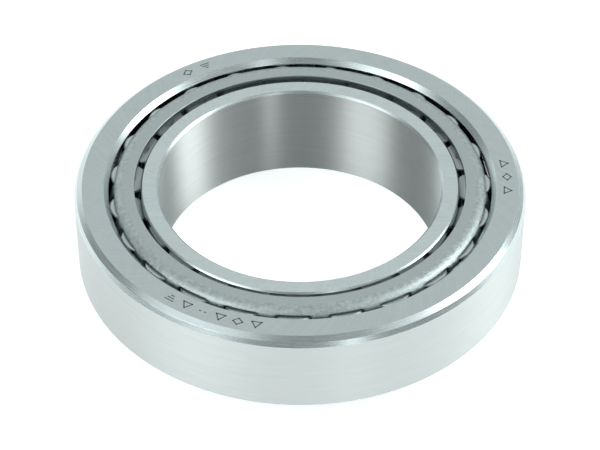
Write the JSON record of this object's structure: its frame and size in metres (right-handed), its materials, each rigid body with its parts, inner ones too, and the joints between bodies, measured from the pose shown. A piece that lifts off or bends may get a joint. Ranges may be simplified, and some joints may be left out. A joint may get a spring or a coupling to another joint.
{
  "type": "tapered roller bearing",
  "caption": "Single-row tapered roller bearing: a separable outer ring over a caged set of tapered rollers on a ribbed inner ring.",
  "frame": {"origin": "on the bearing's axis, in the plane of the inner ring's back face, on which the bearing stands", "axes": "+Z along the bearing's axis, towards the rollers' narrow ends and the outer ring's back face"},
  "size_m": [0.08, 0.08, 0.02],
  "materials": {
    "ring_steel": "hardened bearing steel, ground",
    "roller_steel": "hardened bearing steel, superfinished",
    "cage_steel": "pressed sheet steel, tumbled matte"
  },
  "bodies": {
    "inner_ring": {"inner_ring_cone": "ring_steel"},
    "outer_ring": {"outer_ring_cup": "ring_steel"},
    "cage": {"roller_cage": "cage_steel"},
    "roller_01": {"roller_01": "roller_steel"},
    "roller_02": {"roller_02": "roller_steel"},
    "roller_03": {"roller_03": "roller_steel"},
    "roller_04": {"roller_04": "roller_steel"},
    "roller_05": {"roller_05": "roller_steel"},
    "roller_06": {"roller_06": "roller_steel"},
    "roller_07": {"roller_07": "roller_steel"},
    "roller_08": {"roller_08": "roller_steel"},
    "roller_09": {"roller_09": "roller_steel"},
    "roller_10": {"roller_10": "roller_steel"},
    "roller_11": {"roller_11": "roller_steel"},
    "roller_12": {"roller_12": "roller_steel"},
    "roller_13": {"roller_13": "roller_steel"},
    "roller_14": {"roller_14": "roller_steel"},
    "roller_15": {"roller_15": "roller_steel"},
    "roller_16": {"roller_16": "roller_steel"},
    "roller_17": {"roller_17": "roller_steel"},
    "roller_18": {"roller_18": "roller_steel"},
    "roller_19": {"roller_19": "roller_steel"},
    "roller_20": {"roller_20": "roller_steel"},
    "roller_21": {"roller_21": "roller_steel"},
    "roller_22": {"roller_22": "roller_steel"},
    "roller_23": {"roller_23": "roller_steel"}
  },
  "joints": [
    {"name": "outer_ring_spin", "type": "hinge", "parent": "inner_ring", "child": "outer_ring", "pos_m": [0, 0, 0.012], "axis": [0, 0, 1], "continuous": true},
    {"name": "cage_orbit", "type": "hinge", "parent": "inner_ring", "child": "cage", "pos_m": [0, 0, 0.012], "axis": [0, 0, 1], "continuous": true},
    {"name": "roller_01_spin", "type": "hinge", "parent": "cage", "child": "roller_01", "pos_m": [0.03042, 0.00106, 0.01798], "axis": [-0.2433, -0.0085, 0.9699], "continuous": true},
    {"name": "roller_02_spin", "type": "hinge", "parent": "cage", "child": "roller_02", "pos_m": [0.029, 0.00923, 0.01798], "axis": [-0.232, -0.0738, 0.9699], "continuous": true},
    {"name": "roller_03_spin", "type": "hinge", "parent": "cage", "child": "roller_03", "pos_m": [0.02544, 0.01671, 0.01798], "axis": [-0.2035, -0.1337, 0.9699], "continuous": true},
    {"name": "roller_04_spin", "type": "hinge", "parent": "cage", "child": "roller_04", "pos_m": [0.01998, 0.02295, 0.01798], "axis": [-0.1599, -0.1836, 0.9699], "continuous": true},
    {"name": "roller_05_spin", "type": "hinge", "parent": "cage", "child": "roller_05", "pos_m": [0.01305, 0.02749, 0.01798], "axis": [-0.1044, -0.2199, 0.9699], "continuous": true},
    {"name": "roller_06_spin", "type": "hinge", "parent": "cage", "child": "roller_06", "pos_m": [0.00515, 0.02999, 0.01798], "axis": [-0.0412, -0.2399, 0.9699], "continuous": true},
    {"name": "roller_07_spin", "type": "hinge", "parent": "cage", "child": "roller_07", "pos_m": [-0.00314, 0.03027, 0.01798], "axis": [0.0251, -0.2422, 0.9699], "continuous": true},
    {"name": "roller_08_spin", "type": "hinge", "parent": "cage", "child": "roller_08", "pos_m": [-0.01119, 0.0283, 0.01798], "axis": [0.0895, -0.2264, 0.9699], "continuous": true},
    {"name": "roller_09_spin", "type": "hinge", "parent": "cage", "child": "roller_09", "pos_m": [-0.01841, 0.02424, 0.01798], "axis": [0.1472, -0.1939, 0.9699], "continuous": true},
    {"name": "roller_10_spin", "type": "hinge", "parent": "cage", "child": "roller_10", "pos_m": [-0.02426, 0.01837, 0.01798], "axis": [0.1941, -0.147, 0.9699], "continuous": true},
    {"name": "roller_11_spin", "type": "hinge", "parent": "cage", "child": "roller_11", "pos_m": [-0.02832, 0.01114, 0.01798], "axis": [0.2265, -0.0891, 0.9699], "continuous": true},
    {"name": "roller_12_spin", "type": "hinge", "parent": "cage", "child": "roller_12", "pos_m": [-0.03028, 0.00309, 0.01798], "axis": [0.2422, -0.0247, 0.9699], "continuous": true},
    {"name": "roller_13_spin", "type": "hinge", "parent": "cage", "child": "roller_13", "pos_m": [-0.02999, -0.00519, 0.01798], "axis": [0.2399, 0.0415, 0.9699], "continuous": true},
    {"name": "roller_14_spin", "type": "hinge", "parent": "cage", "child": "roller_14", "pos_m": [-0.02747, -0.01309, 0.01798], "axis": [0.2198, 0.1047, 0.9699], "continuous": true},
    {"name": "roller_15_spin", "type": "hinge", "parent": "cage", "child": "roller_15", "pos_m": [-0.02292, -0.02002, 0.01798], "axis": [0.1834, 0.1601, 0.9699], "continuous": true},
    {"name": "roller_16_spin", "type": "hinge", "parent": "cage", "child": "roller_16", "pos_m": [-0.01667, -0.02546, 0.01798], "axis": [0.1334, 0.2037, 0.9699], "continuous": true},
    {"name": "roller_17_spin", "type": "hinge", "parent": "cage", "child": "roller_17", "pos_m": [-0.00918, -0.02901, 0.01798], "axis": [0.0735, 0.2321, 0.9699], "continuous": true},
    {"name": "roller_18_spin", "type": "hinge", "parent": "cage", "child": "roller_18", "pos_m": [-0.00102, -0.03042, 0.01798], "axis": [0.0081, 0.2433, 0.9699], "continuous": true},
    {"name": "roller_19_spin", "type": "hinge", "parent": "cage", "child": "roller_19", "pos_m": [0.00723, -0.02956, 0.01798], "axis": [-0.0578, 0.2365, 0.9699], "continuous": true},
    {"name": "roller_20_spin", "type": "hinge", "parent": "cage", "child": "roller_20", "pos_m": [0.01494, -0.02652, 0.01798], "axis": [-0.1195, 0.2121, 0.9699], "continuous": true},
    {"name": "roller_21_spin", "type": "hinge", "parent": "cage", "child": "roller_21", "pos_m": [0.02154, -0.0215, 0.01798], "axis": [-0.1723, 0.172, 0.9699], "continuous": true},
    {"name": "roller_22_spin", "type": "hinge", "parent": "cage", "child": "roller_22", "pos_m": [0.02654, -0.0149, 0.01798], "axis": [-0.2123, 0.1192, 0.9699], "continuous": true},
    {"name": "roller_23_spin", "type": "hinge", "parent": "cage", "child": "roller_23", "pos_m": [0.02957, -0.00718, 0.01798], "axis": [-0.2366, 0.0575, 0.9699], "continuous": true}
  ],
  "couplings": [
    {"joint": "cage_orbit", "follows": "outer_ring_spin", "ratio": 0.55773},
    {"joint": "roller_01_spin", "follows": "outer_ring_spin", "ratio": 4.1446},
    {"joint": "roller_02_spin", "follows": "outer_ring_spin", "ratio": 4.1446},
    {"joint": "roller_03_spin", "follows": "outer_ring_spin", "ratio": 4.1446},
    {"joint": "roller_04_spin", "follows": "outer_ring_spin", "ratio": 4.1446},
    {"joint": "roller_05_spin", "follows": "outer_ring_spin", "ratio": 4.1446},
    {"joint": "roller_06_spin", "follows": "outer_ring_spin", "ratio": 4.1446},
    {"joint": "roller_07_spin", "follows": "outer_ring_spin", "ratio": 4.1446},
    {"joint": "roller_08_spin", "follows": "outer_ring_spin", "ratio": 4.1446},
    {"joint": "roller_09_spin", "follows": "outer_ring_spin", "ratio": 4.1446},
    {"joint": "roller_10_spin", "follows": "outer_ring_spin", "ratio": 4.1446},
    {"joint": "roller_11_spin", "follows": "outer_ring_spin", "ratio": 4.1446},
    {"joint": "roller_12_spin", "follows": "outer_ring_spin", "ratio": 4.1446},
    {"joint": "roller_13_spin", "follows": "outer_ring_spin", "ratio": 4.1446},
    {"joint": "roller_14_spin", "follows": "outer_ring_spin", "ratio": 4.1446},
    {"joint": "roller_15_spin", "follows": "outer_ring_spin", "ratio": 4.1446},
    {"joint": "roller_16_spin", "follows": "outer_ring_spin", "ratio": 4.1446},
    {"joint": "roller_17_spin", "follows": "outer_ring_spin", "ratio": 4.1446},
    {"joint": "roller_18_spin", "follows": "outer_ring_spin", "ratio": 4.1446},
    {"joint": "roller_19_spin", "follows": "outer_ring_spin", "ratio": 4.1446},
    {"joint": "roller_20_spin", "follows": "outer_ring_spin", "ratio": 4.1446},
    {"joint": "roller_21_spin", "follows": "outer_ring_spin", "ratio": 4.1446},
    {"joint": "roller_22_spin", "follows": "outer_ring_spin", "ratio": 4.1446},
    {"joint": "roller_23_spin", "follows": "outer_ring_spin", "ratio": 4.1446}
  ]
}
